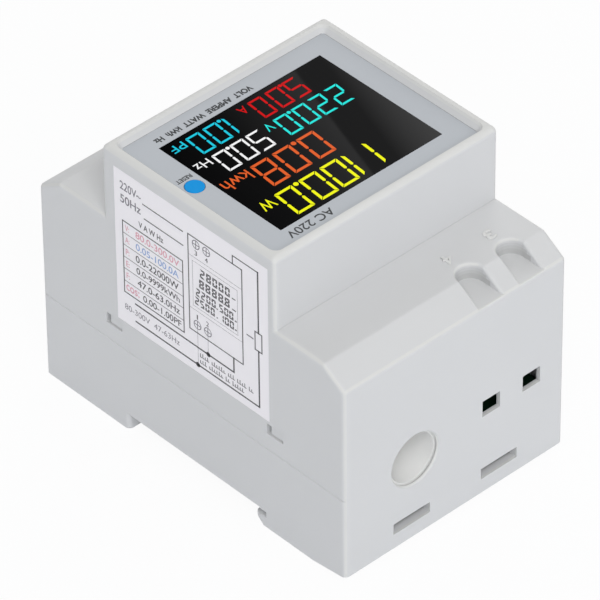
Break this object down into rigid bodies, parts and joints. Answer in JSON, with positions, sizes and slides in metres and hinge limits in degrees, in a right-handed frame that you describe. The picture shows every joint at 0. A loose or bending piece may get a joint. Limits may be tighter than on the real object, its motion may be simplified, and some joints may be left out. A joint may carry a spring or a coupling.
{
  "type": "panel meter",
  "caption": "Rail-mounted digital multifunction meter with a raised front, a dark display, a reset button, a through hole for the measured wire and screw terminals",
  "frame": {"origin": "centre of the footprint at the level of the rail feet, with the meter lying on its back", "axes": "+X along the mounting rail towards the labelled side, +Y from the supply terminals 1 and 2 towards positions 3 and 4, +Z out of the display"},
  "size_m": [0.054, 0.08, 0.0634],
  "materials": {
    "housing_grey": "fine matt ABS",
    "front_sheet": "satin silver-grey film",
    "window_black": "polished, dark tinted",
    "button_blue": "smooth",
    "label_paper": "printed film",
    "tube_grey": "fine matt",
    "clip_grey": "fine matt",
    "block_grey": "fine matt",
    "switch_black": "smooth",
    "display_glass": "polished",
    "light_box": "white",
    "tinned_metal": "tinned",
    "board_green": "lacquered board",
    "steel": "zinc plated",
    "chip_black": "moulded",
    "capacitor_yellow": "moulded",
    "varistor_blue": "dipped",
    "resistor_sand": "dipped",
    "core_black": "potted ring",
    "capacitor_sleeve": "shrink sleeve",
    "contact_brass": "bright"
  },
  "bodies": {
    "housing": {"upper_housing": "housing_grey", "front_housing": "housing_grey", "lower_housing": "housing_grey", "face_sheet": "front_sheet", "display_window": "window_black", "reset_switch": "switch_black", "lcd_panel": "display_glass", "lcd_frame": "light_box", "light_diffuser": "light_box", "lcd_pins": "tinned_metal", "backlight_leds": "light_box", "display_board": "board_green", "display_board_screws": "steel", "display_chip": "chip_black", "riser_board": "board_green", "main_board": "board_green", "main_board_screws": "steel", "metering_chip": "chip_black", "line_capacitor": "capacitor_yellow", "varistor": "varistor_blue", "fuse_resistor": "resistor_sand", "choke_coil": "chip_black", "current_transformer": "core_black", "wire_tube": "tube_grey", "terminal_block": "block_grey", "side_label": "label_paper", "filter_capacitor_1": "capacitor_sleeve", "filter_capacitor_2": "capacitor_sleeve", "contact_bar_1": "contact_brass", "contact_bar_2": "contact_brass"},
    "clip": {"rail_clip": "clip_grey"},
    "button": {"reset_button": "button_blue", "switch_plunger": "switch_black"},
    "screw_1": {"terminal_screw_1": "steel"},
    "cage_1": {"terminal_cage_1": "steel"},
    "screw_2": {"terminal_screw_2": "steel"},
    "cage_2": {"terminal_cage_2": "steel"}
  },
  "joints": [
    {"name": "clip_slide", "type": "slide", "parent": "housing", "child": "clip", "axis": [0, -1, 0], "range_m": [0, 0.003], "stiffness_N_per_m": 1500, "springref_m": -0.001},
    {"name": "reset_press", "type": "slide", "parent": "housing", "child": "button", "axis": [0, 0, -1], "range_m": [0, 0.0004], "stiffness_N_per_m": 2000, "springref_m": -0.0005},
    {"name": "screw_turn_1", "type": "hinge", "parent": "housing", "child": "screw_1", "pos_m": [-0.0187, -0.0345, 0.0362], "axis": [0, 0, -1], "range_deg": [0, 2520]},
    {"name": "cage_rise_1", "type": "slide", "parent": "housing", "child": "cage_1", "axis": [0, 0, 1], "range_m": [0, 0.0042]},
    {"name": "screw_turn_2", "type": "hinge", "parent": "housing", "child": "screw_2", "pos_m": [-0.0087, -0.0345, 0.0362], "axis": [0, 0, -1], "range_deg": [0, 2520]},
    {"name": "cage_rise_2", "type": "slide", "parent": "housing", "child": "cage_2", "axis": [0, 0, 1], "range_m": [0, 0.0042]}
  ],
  "couplings": [
    {"joint": "screw_turn_1", "follows": "cage_rise_1", "rad_per_m": 10472},
    {"joint": "screw_turn_2", "follows": "cage_rise_2", "rad_per_m": 10472}
  ]
}
